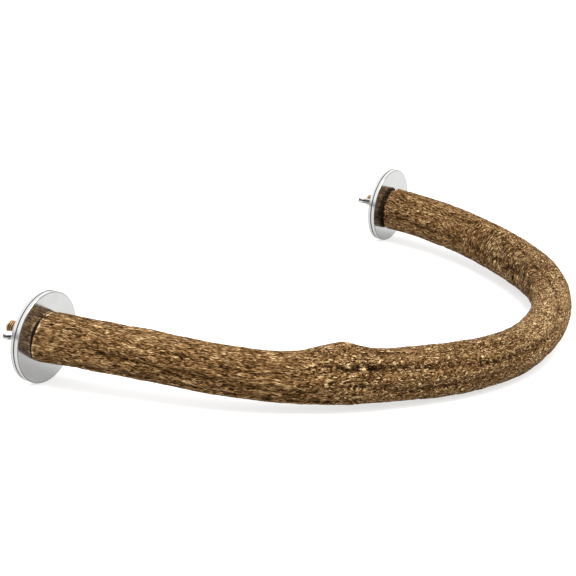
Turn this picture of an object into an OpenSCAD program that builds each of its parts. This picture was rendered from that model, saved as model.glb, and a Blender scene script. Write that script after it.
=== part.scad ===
// Bird perch: a bark-covered branch bent into a U, with a hanger bolt, two washers
// and a wing nut at each end that clamp it to the bars of a cage.
//
// The bolts point along +Y, at the cage wall. The branch reaches out along -Y, and +Z is up.
// The origin lies midway between the two bolts, on the plane where the washers of a clamp meet.

/* [Branch] */
// Distance between the axes of the two hanger bolts
bolt_spacing = 309; // [220:0.5:400]
// Distance from the cut ends to the outermost part of the centre line
reach = 154.6; // [110:0.1:220]
// Mean diameter over the bark
branch_d = 22.6; // [18:0.1:30]
// How far the branch sags below the plane of the bolts
sag = 3.1; // [0:0.1:6]
// Depth of the shallow lobes that run along the bark
bark_lobe = 0.25; // [0:0.05:0.5]
// Depth of the long furrows in the bark
furrow_depth = 1; // [0:0.1:1.6]
// Width of the long furrows
furrow_w = 4.4; // [3:0.1:6]
// How far the knot stands out of the bark
knot_h = 3.9; // [0:0.1:5]
// Length of the knot along the branch
knot_len = 25; // [10:0.5:40]
// Angle of the knot around the branch, from its outer side towards its top
knot_angle = 104; // [0:1:360]
// Width of the chamfer around the sawn ends
saw_chamfer = 0.8; // [0.2:0.1:2]

/* [Hanger bolts] */
// Outside diameter of the machine thread and the wood thread
bolt_d = 6; // [5:0.1:6]
// Overall length of a hanger bolt
bolt_len = 40; // [36:0.5:46]
// Length of the machine thread
machine_len = 20; // [18:0.5:22]
// Length of the plain neck between the two threads
neck_len = 3; // [2:0.5:4]
// Pitch of the machine thread
machine_pitch = 1; // [0.9:0.05:1.25]
// Pitch of the wood thread
wood_pitch = 2.4; // [2:0.1:3]
// Depth of the wood thread
wood_thread_h = 0.9; // [0.5:0.1:1.1]
// How far the left bolt stands out of the branch
left_stand_out = 20.6; // [20:0.1:23]
// How far the right bolt stands out of the branch
right_stand_out = 15.4; // [15:0.1:20]

/* [Washers] */
// Outside diameter of a washer
washer_d = 40; // [30:0.5:50]
// Thickness of a washer
washer_t = 2; // [1.5:0.1:2.2]
// Radius of the rounded rim
washer_edge = 0.6; // [0.2:0.1:0.7]
// Gap all round between a washer and its bolt
washer_play = 0.25; // [0.1:0.05:0.5]

/* [Wing nuts] */
// Diameter of the hub where it meets the washer
hub_d = 12; // [11:0.1:14]
// Diameter of the hub at its outer face
hub_top_d = 10; // [9:0.1:11]
// Height of the hub
hub_h = 7.2; // [6:0.1:8]
// Distance over the tips of both wings
wing_span = 24.2; // [22:0.1:32]
// Height of the wings above the washer
wing_h = 12; // [11:0.1:16]
// Thickness of a wing
wing_t = 3; // [2.4:0.1:3.6]
// Radius of a wing's rounded tip
wing_tip_r = 2.7; // [2:0.1:3.2]
// Gap all round between a wing nut and its bolt
nut_play = 0.05; // [0.02:0.01:0.1]
// How far the right wing nut is turned from level wings
right_nut_turn = 10; // [0:1:179]

/* [Hidden] */
$fn = 96;

// Overrun of every cut past the face that it opens
overrun = 1;

// Places
left_x = -bolt_spacing / 2;
right_x = bolt_spacing / 2;
cut_y = -washer_t;

// Centre line of the branch: the control points of a smooth curve, from the left end to the right,
// as shares of half the bolt spacing, of the reach and of the sag
path_shares = [
    [-1, 0, 0], [-0.945, -0.265, 0.35], [-0.86, -0.515, -0.55], [-0.715, -0.71, -0.9],
    [-0.51, -0.87, -0.5], [-0.27, -0.985, -1], [-0.01, -1.01, -1], [0.25, -0.96, -0.5],
    [0.495, -0.85, -0.4], [0.695, -0.68, -0.8], [0.855, -0.465, -0.9], [0.97, -0.23, -0.7],
    [1, 0, -0.55]
];
// Radius of the branch at each control point, as a share of its mean radius
girth_shares = [1, 0.96, 0.93, 0.98, 1.01, 0.99, 0.91, 0.83, 0.94, 1.04, 1.03, 1.02, 1.02];
// The knot's place along the branch
knot_share = 0.264;
// The lobes of the bark: how many go round, how often they wind along the branch, where they start
// and how deep they are as a share of the full depth
lobe_shares = [[2, 0.6, 20, 1], [3, -0.8, 75, 0.8], [5, 1.1, 140, 0.6]];
// The long furrows of the bark: how deep each is as a share of the full depth, and its points as
// shares of the branch's length, each with its angle from the outer side towards the top
furrow_shares = [
    [0.85, [[0.025, 8], [0.056, 6], [0.083, 4], [0.104, -2], [0.138, 0], [0.175, -3]]],
    [1, [[0.006, -38], [0.058, -41], [0.113, -37], [0.163, -40], [0.23, -47], [0.284, -44]]],
    [0.55, [[0.109, 42], [0.15, 28], [0.186, 26], [0.226, 24], [0.251, 30]]],
    [0.75, [[0.079, -20], [0.121, -16], [0.146, -12], [0.18, -14], [0.226, -16], [0.259, -12]]],
    [1.1, [[0.242, 48], [0.284, 42], [0.359, 30], [0.416, 22], [0.443, 22], [0.491, 28], [0.547, 27]]],
    [0.7, [[0.246, 2], [0.284, -4], [0.311, -16], [0.351, -18], [0.393, -12], [0.455, 0]]],
    [0.5, [[0.271, 90], [0.317, 78], [0.355, 66], [0.401, 68], [0.451, 63]]],
    [0.8, [[0.514, 40], [0.555, 54], [0.61, 84], [0.677, 116], [0.72, 124]]],
    [0.7, [[0.71, 112], [0.802, 116], [0.881, 122], [0.948, 128], [0.994, 126]]],
    [0.9, [[0.664, 166], [0.768, 174], [0.86, 184], [0.935, 190], [0.994, 182]]],
    [0.9, [[0.004, 128], [0.084, 132], [0.167, 148], [0.246, 156]]],
    [0.9, [[0.188, 204], [0.292, 190], [0.397, 176], [0.501, 186], [0.626, 214]]],
    [1, [[0.021, 252], [0.125, 262], [0.23, 250], [0.355, 258], [0.48, 250]]],
    [0.9, [[0.409, 300], [0.501, 318], [0.606, 326], [0.702, 318]]],
    [0.9, [[0.585, 262], [0.689, 250], [0.814, 256], [0.919, 246], [0.996, 250]]],
    [1, [[0.685, 20], [0.773, 42], [0.877, 36], [0.99, 48]]],
    [0.8, [[0.718, 318], [0.814, 308], [0.919, 316], [0.994, 310]]]
];
branch_r = branch_d / 2;
knot_spread = 40;
rings_per_stretch = 8;
branch_sides = 36;
furrow_fade_len = branch_r;
saw_blend_len = branch_r;

// Bolts
bolt_r = bolt_d / 2;
wood_len = bolt_len - machine_len - neck_len;
wood_core_r = bolt_r - wood_thread_h;
// Depth and crest of the machine thread, and the crest of the wood thread, as shares of the pitch
machine_depth_share = 0.54;
machine_crest_share = 0.125;
wood_crest_share = 0.12;
machine_root_r = bolt_r - machine_depth_share * machine_pitch;
neck_r = bolt_r - machine_depth_share * machine_pitch / 2;
bolt_chamfer = bolt_r - machine_root_r;
bolt_mouth_play = 0.1;
pilot_spare = 1;

// Clamps
stack_t = 2 * washer_t;
washer_bore_r = bolt_r + washer_play;
nut_bore_r = bolt_r + nut_play;
nut_countersink = 0.5;
hub_foot_h = 1.2;
wing_root_r = (bolt_r + hub_top_d / 2) / 2;
wing_foot_h = hub_foot_h;

function unit(v) = v / norm(v);

// A point of the uniform cubic B-spline over four control values, and its slope
function spline_at(a, b, c, d, u) =
    (pow(1 - u, 3) * a + (3 * pow(u, 3) - 6 * u * u + 4) * b
     + (-3 * pow(u, 3) + 3 * u * u + 3 * u + 1) * c + pow(u, 3) * d) / 6;
function spline_slope(a, b, c, d, u) =
    (-pow(1 - u, 2) * a + (3 * u * u - 4 * u) * b
     + (-3 * u * u + 2 * u + 1) * c + u * u * d) / 2;

// Control values with one more at each end, so that the curve starts and ends on the first and last
function padded(list) = concat([2 * list[0] - list[1]], list,
                               [2 * list[len(list) - 1] - list[len(list) - 2]]);

path_points = padded([for (p = path_shares)
    [p[0] * bolt_spacing / 2, cut_y + p[1] * reach, p[2] * sag]]);
girths = padded(branch_r * girth_shares);
ring_count = (len(path_shares) - 1) * rings_per_stretch + 1;

// Which four control values hold ring i, and how far it lies between the middle two
function stretch_of(i) = min(floor(i / rings_per_stretch), len(path_shares) - 2);
function part_of(i) = i / rings_per_stretch - stretch_of(i);
function along(list, i) = let (k = stretch_of(i))
    spline_at(list[k], list[k + 1], list[k + 2], list[k + 3], part_of(i));
function heading(i) = let (k = stretch_of(i))
    unit(spline_slope(path_points[k], path_points[k + 1], path_points[k + 2], path_points[k + 3],
                      part_of(i)));

ring_steps = [for (i = [1:ring_count - 1]) norm(along(path_points, i) - along(path_points, i - 1))];
ring_places = [for (i = 0, s = 0; i < ring_count; s = s + (i < ring_count - 1 ? ring_steps[i] : 0),
                    i = i + 1) s];
branch_len = ring_places[ring_count - 1];
function place(i) = lookup(i, [for (k = [0:ring_count - 1]) [k, ring_places[k]]]);

// Angle from one direction round to another, between -180 and 180
function turn_between(a, b) = let (d = (a - b) % 360) d > 180 ? d - 360 : d < -180 ? d + 360 : d;

// Height of the bark's lobes and of the knot over the girth, at place s and angle q
function lobes(s, q) = bark_lobe * sum_of([for (w = lobe_shares)
    w[3] * cos(w[0] * q + w[1] * 360 * s / branch_len + w[2])]);
function knot(s, q) = knot_h * exp(-pow((s - knot_share * branch_len) / (knot_len / 2), 2)
                                   - pow(turn_between(q, knot_angle) / knot_spread, 2));
function sum_of(list) = list * [for (v = list) 1];

// The furrows that cross the ring at place s, as depth and angle. Each one fades out at its ends.
function furrows_at(s) = let (share = s / branch_len) [for (f = furrow_shares) let (
    points = f[1],
    to_end = min(share - points[0][0], points[len(points) - 1][0] - share) * branch_len)
    if (to_end > 0) [furrow_depth * f[0] * min(1, to_end / furrow_fade_len), lookup(share, points)]];
function furrows(cuts, q) = len(cuts) == 0 ? 0 : sum_of([for (c = cuts)
    c[0] * exp(-pow(turn_between(q, c[1]) * PI / 180 * branch_r / (furrow_w / 2), 2))]);

// One ring of the bark. Near an end it leans, until the ring at the end is square to the bolts.
function lean(s) = max(0, 1 - min(s, branch_len - s) / saw_blend_len);
function ring(i, inset) = let (
    s = place(i),
    c = along(path_points, i),
    t = heading(i),
    out = unit(cross(t, [0, 0, 1])),
    up = cross(out, t),
    girth = along(girths, i),
    cuts = furrows_at(s))
    [for (k = [0:branch_sides - 1]) let (
        q = k * 360 / branch_sides,
        r = girth + lobes(s, q) + knot(s, q) - furrows(cuts, q) - inset,
        flat = r * (cos(q) * out + sin(q) * up))
        c + flat - t * (flat[1] / t[1]) * lean(s)];

// The ring at each end is drawn in by the chamfer, and a full ring stands as far behind it
first_edge = saw_chamfer / ring_steps[0];
last_edge = ring_count - 1 - saw_chamfer / ring_steps[ring_count - 2];
bark_rings = concat([ring(0, saw_chamfer)], [ring(first_edge, 0)],
                    [for (i = [1:ring_count - 2]) ring(i, 0)],
                    [ring(last_edge, 0)], [ring(ring_count - 1, saw_chamfer)]);

module bark_body() {
    n = branch_sides;
    points = [for (r = bark_rings) each r];
    sides = [for (i = [0:len(bark_rings) - 2], k = [0:n - 1])
        each [[i * n + k, i * n + (k + 1) % n, (i + 1) * n + k],
              [i * n + (k + 1) % n, (i + 1) * n + (k + 1) % n, (i + 1) * n + k]]];
    first_end = [for (k = [0:n - 1]) n - 1 - k];
    last_end = [for (k = [0:n - 1]) (len(bark_rings) - 1) * n + k];
    polyhedron(points = points, faces = concat([first_end], sides, [last_end]), convexity = 4);
}

// Places a shape drawn along +Z on the axis of a bolt, with its foot at y
module on_axis(x, y) {
    translate([x, y, 0]) rotate([-90, 0, 0]) children();
}

// The hole for one bolt: wide at the mouth and narrow where the wood thread bites
module bolt_hole(x, stand_out) {
    sunk = bolt_len - stand_out;
    on_axis(x, cut_y - sunk - pilot_spare)
        cylinder(h = sunk + pilot_spare + overrun, r = wood_core_r);
    on_axis(x, cut_y - (sunk - wood_len))
        cylinder(h = sunk - wood_len + overrun, r = bolt_r + bolt_mouth_play);
}

module branch() {
    color("saddlebrown") difference() {
        bark_body();
        bolt_hole(left_x, left_stand_out);
        bolt_hole(right_x, right_stand_out);
    }
}

// Outline of a hanger bolt, from its point up its side. The machine thread shows its ridges up to
// the first one past the wing nut, and the free end is plain at the thread's outside diameter.
function wood_ridge(i) = let (
    z = i * wood_pitch,
    tip = min(1, (i + 1) / 3),
    root = wood_core_r * tip,
    crest = root + wood_thread_h * tip)
    [[root, z + wood_pitch * 0.5], [crest, z + wood_pitch * (0.75 - wood_crest_share)],
     [crest, z + wood_pitch * 0.75], [root, z + wood_pitch]];
function machine_ridge(z) =
    [[machine_root_r, z], [bolt_r, z + machine_pitch * 0.3],
     [bolt_r, z + machine_pitch * (0.3 + machine_crest_share)],
     [machine_root_r, z + machine_pitch * (0.6 + machine_crest_share)]];
function bolt_outline(stand_out) = let (
    wood_ridges = floor(wood_len / wood_pitch),
    start = wood_len + neck_len,
    nut_face = bolt_len - stand_out + stack_t + hub_h,
    ridges = ceil((nut_face - start) / machine_pitch),
    plain = start + (ridges + 0.25) * machine_pitch)
    concat([[0, 0]],
           [for (i = [0:wood_ridges - 1]) each wood_ridge(i)],
           [[wood_core_r, wood_len], [neck_r, wood_len], [neck_r, start]],
           [for (i = [0:ridges - 1]) each machine_ridge(start + i * machine_pitch)],
           [[machine_root_r, plain], [bolt_r, plain], [bolt_r, bolt_len - bolt_chamfer],
            [bolt_r - bolt_chamfer, bolt_len], [0, bolt_len]]);

module hanger_bolt(x, stand_out) {
    color("goldenrod") on_axis(x, cut_y + stand_out - bolt_len)
        rotate_extrude() polygon(bolt_outline(stand_out));
}

module washer(x, y) {
    color("silver") on_axis(x, y) rotate_extrude() {
        translate([washer_bore_r, 0]) square([washer_d / 2 - washer_edge - washer_bore_r, washer_t]);
        translate([washer_bore_r, washer_edge])
            square([washer_d / 2 - washer_bore_r, washer_t - 2 * washer_edge]);
        for (z = [washer_edge, washer_t - washer_edge])
            translate([washer_d / 2 - washer_edge, z]) circle(r = washer_edge);
    }
}

// One wing, flat in the XZ plane, from inside the hub out to its rounded tip
module wing() {
    tip = [wing_span / 2 - wing_tip_r, wing_h - wing_tip_r];
    foot = [hub_d / 2, wing_foot_h];
    shoulder = [hub_top_d / 2, hub_h];
    // The wing's edges touch the circle of the tip
    low = tip + wing_tip_r * unit([tip[1] - foot[1], foot[0] - tip[0]]);
    high = tip + wing_tip_r * unit([shoulder[1] - tip[1], tip[0] - shoulder[0]]);
    translate([0, wing_t / 2, 0]) rotate([90, 0, 0]) linear_extrude(height = wing_t) {
        polygon([[wing_root_r, wing_foot_h], foot, low, high, shoulder, [wing_root_r, hub_h]]);
        translate(tip) circle(r = wing_tip_r);
    }
}

module wing_nut(x, turn) {
    color("gainsboro") on_axis(x, stack_t - washer_t) rotate([0, 0, turn]) difference() {
        union() {
            rotate_extrude() polygon([[0, 0], [hub_d / 2, 0], [hub_d / 2, hub_foot_h],
                                      [hub_top_d / 2, hub_h], [0, hub_h]]);
            wing();
            mirror([1, 0, 0]) wing();
        }
        translate([0, 0, -overrun]) cylinder(h = hub_h + 2 * overrun, r = nut_bore_r);
        cylinder(h = nut_countersink, r1 = nut_bore_r + nut_countersink, r2 = nut_bore_r);
        translate([0, 0, hub_h - nut_countersink])
            cylinder(h = nut_countersink, r1 = nut_bore_r, r2 = nut_bore_r + nut_countersink);
    }
}

module left_hanger_bolt() { hanger_bolt(left_x, left_stand_out); }
module left_inner_washer() { washer(left_x, cut_y); }
module left_outer_washer() { washer(left_x, 0); }
module left_wing_nut() { wing_nut(left_x, 0); }
module right_hanger_bolt() { hanger_bolt(right_x, right_stand_out); }
module right_inner_washer() { washer(right_x, cut_y); }
module right_outer_washer() { washer(right_x, 0); }
module right_wing_nut() { wing_nut(right_x, right_nut_turn); }

branch();
left_hanger_bolt();
left_inner_washer();
left_outer_washer();
left_wing_nut();
right_hanger_bolt();
right_inner_washer();
right_outer_washer();
right_wing_nut();
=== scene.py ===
"""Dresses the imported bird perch: bark, plated hardware, studio floor, light and camera.

Lengths are in millimetres inside the classes and become metres when a mesh is made. The row frame
has its origin midway between the two bolts, on the plane where the washers of a pair meet. The
branch reaches out along -Y, the bolts' free ends point along +Y, and +Z is up. On the branch, s is
the place along it from its left end, and q is the angle round it in degrees, from the outer side at
0 over the top at 90 to the inner side at 180.
"""

import logging
import math
from dataclasses import dataclass, field
from enum import Enum
from functools import cached_property
from typing import NamedTuple, Optional, Sequence

import bmesh
import bpy
import numpy as np
from mathutils import Matrix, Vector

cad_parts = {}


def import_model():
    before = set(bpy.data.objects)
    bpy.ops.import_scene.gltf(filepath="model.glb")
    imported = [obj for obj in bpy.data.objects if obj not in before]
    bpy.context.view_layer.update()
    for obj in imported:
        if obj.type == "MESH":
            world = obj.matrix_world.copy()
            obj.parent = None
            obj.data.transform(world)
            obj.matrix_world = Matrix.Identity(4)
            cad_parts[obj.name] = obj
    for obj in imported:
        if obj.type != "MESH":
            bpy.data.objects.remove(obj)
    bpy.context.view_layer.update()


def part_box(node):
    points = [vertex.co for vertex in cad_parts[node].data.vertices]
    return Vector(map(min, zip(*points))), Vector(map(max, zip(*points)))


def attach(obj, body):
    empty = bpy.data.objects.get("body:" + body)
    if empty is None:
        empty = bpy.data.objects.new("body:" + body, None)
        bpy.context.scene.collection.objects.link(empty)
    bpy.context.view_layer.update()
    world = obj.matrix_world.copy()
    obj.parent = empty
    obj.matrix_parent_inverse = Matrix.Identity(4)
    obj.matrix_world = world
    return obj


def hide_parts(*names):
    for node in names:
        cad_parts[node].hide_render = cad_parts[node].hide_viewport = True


LOG = logging.getLogger("bird_perch")
MM = 0.001
FULL_TURN = 2.0 * math.pi
Array = np.ndarray
Socket = bpy.types.NodeSocket
Piece = bpy.types.Object
Colour = tuple[float, float, float, float]
Pair = tuple[float, float]
Triple = tuple[float, float, float]
Rows = tuple[tuple[float, ...], ...]


class Side(Enum):
    """The two ends of the perch, and the sign of their place along X."""

    LEFT = -1
    RIGHT = 1

    @property
    def label(self) -> str:
        """The name that this end's nodes and bodies start with."""
        return self.name.lower()


class Plate(Enum):
    """The three metal finishes of the hardware."""

    CHROME = "washer"
    ZINC = "bolt"
    CAST = "wing_nut"


# Shared helpers for meshes


def smooth(values: Array, low: float, high: float) -> Array:
    """Rises from 0 at low to 1 at high along a cubic with level ends."""
    share = np.clip((values - low) / (high - low), 0.0, 1.0)
    return share * share * (3.0 - 2.0 * share)


def bell(offset: Array, width: float) -> Array:
    """One in the middle, falling to 1 / e where the offset equals the width."""
    return np.exp(-((offset / width) ** 2))


def ridged(values: Array) -> Array:
    """Sharp ridges where a noise crosses zero, as a constant minus the noise's size."""
    return 0.8 - np.abs(values)


def turn_from(q: Array, angle: Array) -> Array:
    """The shorter turn between two angles, in degrees."""
    return (q - angle + 180.0) % 360.0 - 180.0


def unit(vectors: Array) -> Array:
    """The same directions at a length of one."""
    return vectors / np.linalg.norm(vectors, axis=1)[:, None]


def run_along(points: Array) -> Array:
    """How long a line is up to each of its points."""
    return np.concatenate([[0.0], np.cumsum(np.linalg.norm(np.diff(points, axis=0), axis=1))])


def arc(middle: Sequence[float], radius: float, start: float, end: float, steps: int) -> Array:
    """Evenly spread points on an arc, from one angle to another in degrees."""
    turn = np.radians(np.linspace(start, end, steps))
    return np.stack([middle[0] + radius * np.cos(turn), middle[1] + radius * np.sin(turn)], axis=1)


def spun(radius: Array, place: Array, sides: int) -> Array:
    """Turns an outline round Y: x is the radius times cos, y the place, z the radius times sin."""
    turn = np.arange(sides) * FULL_TURN / sides
    return np.stack(np.broadcast_arrays(radius * np.cos(turn), place, radius * np.sin(turn)), axis=-1)


def tube_faces(rings: int, sides: int) -> Array:
    """Quads between neighbouring rings, each ring closed on itself.

    Args:
        rings: How many rings the grid has.
        sides: How many points each ring has.

    Returns:
        Corner indices, one row of four for each quad.
    """
    here = np.arange((rings - 1) * sides).reshape(-1, sides)
    there = np.roll(here, -1, axis=1)
    return np.stack([here, there, there + sides, here + sides], axis=-1).reshape(-1, 4)


def new_piece(name: str, points: Array, faces: list[list[int]]) -> Piece:
    """Makes a smooth-shaded mesh object.

    Args:
        name: The name of the object and of its mesh.
        points: Places in millimetres, three numbers each.
        faces: Corner indices of each face.

    Returns:
        The object, at the origin, with its place in its mesh.
    """
    mesh = bpy.data.meshes.new(name)
    mesh.from_pydata((points.reshape(-1, 3) * MM).tolist(), [], faces)
    mesh.shade_smooth()
    piece = bpy.data.objects.new(name, mesh)
    bpy.context.scene.collection.objects.link(piece)
    return piece


def capped_tube(name: str, rings: Array, poles: Sequence[Array]) -> Piece:
    """Makes one closed piece from a row of rings, with a fan of triangles at both ends.

    Args:
        name: The piece's name.
        rings: Places over rings and sides.
        poles: The points that close the first ring and the last.

    Returns:
        The piece, facing out.
    """
    sides = rings.shape[1]
    count = len(rings) * sides
    ring = np.stack([np.arange(sides), (np.arange(sides) + 1) % sides, np.full(sides, count)], axis=1)
    fans = np.concatenate([ring, ring[:, [1, 0, 2]] + [count - sides, count - sides, 1]])
    faces = tube_faces(len(rings), sides)[:, ::-1].tolist() + fans.tolist()
    return new_piece(name, np.concatenate([rings.reshape(-1, 3), poles]), faces)


def closed_solid(name: str, rings: Array) -> Piece:
    """Closes a row of rings with two flat faces and turns all faces outwards.

    Args:
        name: The piece's name.
        rings: Places over rings and sides.

    Returns:
        The piece, for joining and cutting.
    """
    sides = rings.shape[1]
    index = list(range(len(rings) * sides))
    faces = tube_faces(len(rings), sides).tolist() + [index[:sides][::-1], index[-sides:]]
    piece = new_piece(name, rings, faces)
    work = bmesh.new()
    work.from_mesh(piece.data)
    bmesh.ops.recalc_face_normals(work, faces=work.faces)
    work.to_mesh(piece.data)
    work.free()
    return piece


def vertex_places(piece: Piece) -> Array:
    """The places of a mesh's vertices in millimetres, one row for each.

    Args:
        piece: The object whose mesh is read.

    Returns:
        The places.
    """
    spots = np.empty(len(piece.data.vertices) * 3, np.float32)
    piece.data.vertices.foreach_get("co", spots)
    return spots.reshape(-1, 3) / MM


def keep_values(piece: Piece, name: str, values: Array) -> None:
    """Stores one number or one vector for each vertex, for the material to read.

    Args:
        piece: The object whose mesh takes the values.
        name: The attribute's name.
        values: One row for each vertex, of one or three numbers.
    """
    vector = values.ndim == 2
    layer = piece.data.attributes.new(name, "FLOAT_VECTOR" if vector else "FLOAT", "POINT")
    layer.data.foreach_set("vector" if vector else "value", values.astype(np.float32).ravel())


# Finishes


class Waves(NamedTuple):
    """How fine a noise is: waves for each unit along X and across it, finer layers, their strength."""

    along: float
    across: float
    detail: float = 1.0
    rough: float = 0.5


class NodeGraph:
    """A node tree, with short ways to add nodes and join them."""

    def __init__(self, tree: bpy.types.NodeTree) -> None:
        """Keeps the tree that the nodes go into."""
        self.tree = tree

    def feed(self, socket: Socket, value: object) -> None:
        """Links a socket to another one, or sets its value.

        Args:
            socket: The input that is fed.
            value: Another node's output, or a constant.
        """
        if isinstance(value, Socket):
            self.tree.links.new(value, socket)
        else:
            socket.default_value = value

    def add(self, kind: str, inputs: dict[str | int, object], **settings: object) -> bpy.types.Node:
        """Adds a node, sets its properties and feeds its inputs.

        Args:
            kind: Blender's name for the sort of node, after its first word, ShaderNode.
            inputs: What each named or numbered input takes.
            **settings: The node's own properties.

        Returns:
            The new node.
        """
        node = self.tree.nodes.new(f"ShaderNode{kind}")
        for key, value in settings.items():
            setattr(node, key, value)
        for key, value in inputs.items():
            self.feed(node.inputs[key], value)
        return node

    def own(self, name: str, output: str = "Fac") -> Socket:
        """The number that the mesh stores under a name, or another output of its node."""
        return self.add("Attribute", {}, attribute_name=name).outputs[output]

    def math(self, operation: str, *values: object, kind: str = "Math") -> Socket:
        """Works out a number from up to three others, or a vector where the kind is VectorMath."""
        return self.add(kind, dict(enumerate(values)), operation=operation).outputs[0]

    def times(self, first: object, second: object) -> Socket:
        """The product of two numbers."""
        return self.math("MULTIPLY", first, second)

    def plus(self, total: object, part: object, amount: float) -> Socket:
        """A number plus an amount of another."""
        return self.math("MULTIPLY_ADD", part, amount, total)

    def centred(self, value: Socket) -> Socket:
        """A number less one half."""
        return self.math("SUBTRACT", value, 0.5)

    def ranged(
        self, value: Socket, low: float, high: float, first: float = 0.0, last: float = 1.0
    ) -> Socket:
        """Carries a number from the range low to high to the range first to last, with soft ends."""
        ends = {"Value": value, "From Min": low, "From Max": high, "To Min": first, "To Max": last}
        return self.add("MapRange", ends, interpolation_type="SMOOTHSTEP").outputs["Result"]

    def mix(self, share: object, first: object, second: object, end: str = "Color") -> Socket:
        """Mixes two colours or two numbers.

        Args:
            share: How much of the second one there is, from 0 to 1.
            first: The first colour or number.
            second: The second one.
            end: Color, or Float for numbers.

        Returns:
            The mix's socket.
        """
        node = self.add("Mix", {}, data_type={"Color": "RGBA", "Float": "FLOAT"}[end])
        sockets = {socket.identifier: socket for socket in (*node.inputs, *node.outputs)}
        for name, value in (("Factor_Float", share), (f"A_{end}", first), (f"B_{end}", second)):
            self.feed(sockets[name], value)
        return sockets[f"Result_{end}"]

    def moved(self, vector: Socket, push: Socket, amount: float) -> Socket:
        """Shifts a vector by a colour's offset from mid grey, times an amount."""
        offset = self.math("SUBTRACT", push, (0.5,) * 3, kind="VectorMath")
        return self.math("MULTIPLY_ADD", offset, (amount,) * 3, vector, kind="VectorMath")

    def noise(self, vector: Socket, waves: Waves, scale: float = 1.0, output: str = "Fac") -> Socket:
        """Adds smooth noise over a vector that is first stretched along and across.

        Args:
            vector: The place that is looked up.
            waves: How fine the noise is.
            scale: How many times finer it becomes.
            output: Fac for one number, Color for three.

        Returns:
            The noise's socket.
        """
        stretch = (scale * waves.along, scale * waves.across, scale * waves.across)
        spot = self.add("Mapping", {"Vector": vector, "Scale": stretch}).outputs[0]
        inputs = {"Vector": spot, "Scale": 1.0, "Detail": waves.detail, "Roughness": waves.rough}
        return self.add("TexNoise", inputs).outputs[output]

    def noises(
        self, vector: Socket, kinds: Sequence[Waves], shares: Sequence[Socket], scale: float
    ) -> Socket:
        """Mixes several noises over one vector.

        Args:
            vector: The place that is looked up.
            kinds: The waves of each noise.
            shares: How far each noise after the first takes over.
            scale: How many times finer all of them become.

        Returns:
            A number round one half.
        """
        total, *others = (self.noise(vector, waves, scale) for waves in kinds)
        for share, other in zip(shares, others):
            total = self.mix(share, total, other, "Float")
        return total

    def bump(self, height: Socket, depth_mm: float, under: Optional[Socket] = None) -> Socket:
        """Turns a height from 0 to 1 into a normal.

        Args:
            height: The height.
            depth_mm: What a full rise of the height stands for.
            under: A normal that this one is laid over.

        Returns:
            The normal's socket.
        """
        node = self.add("Bump", {"Strength": 1.0, "Distance": depth_mm * MM, "Height": height})
        if under is not None:
            self.feed(node.inputs["Normal"], under)
        return node.outputs["Normal"]


class Shading(NodeGraph):
    """The nodes of one material, which end in its Principled shader."""

    def __init__(self, name: str) -> None:
        """Starts a material that holds one Principled shader.

        Args:
            name: The material's name.
        """
        self.material = bpy.data.materials.new(name)
        self.material.use_nodes = True
        super().__init__(self.material.node_tree)
        self.tree.nodes.clear()
        self.shader = self.add("BsdfPrincipled", {})
        self.add("OutputMaterial", {"Surface": self.shader.outputs["BSDF"]})

    def finish_with(self, **sockets: object) -> bpy.types.Material:
        """Sets or links the shader's own sockets.

        Args:
            **sockets: Socket names with an underscore for each space, and what each one takes.

        Returns:
            The material.
        """
        for name, value in sockets.items():
            self.feed(self.shader.inputs[name.replace("_", " ")], value)
        return self.material


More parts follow.
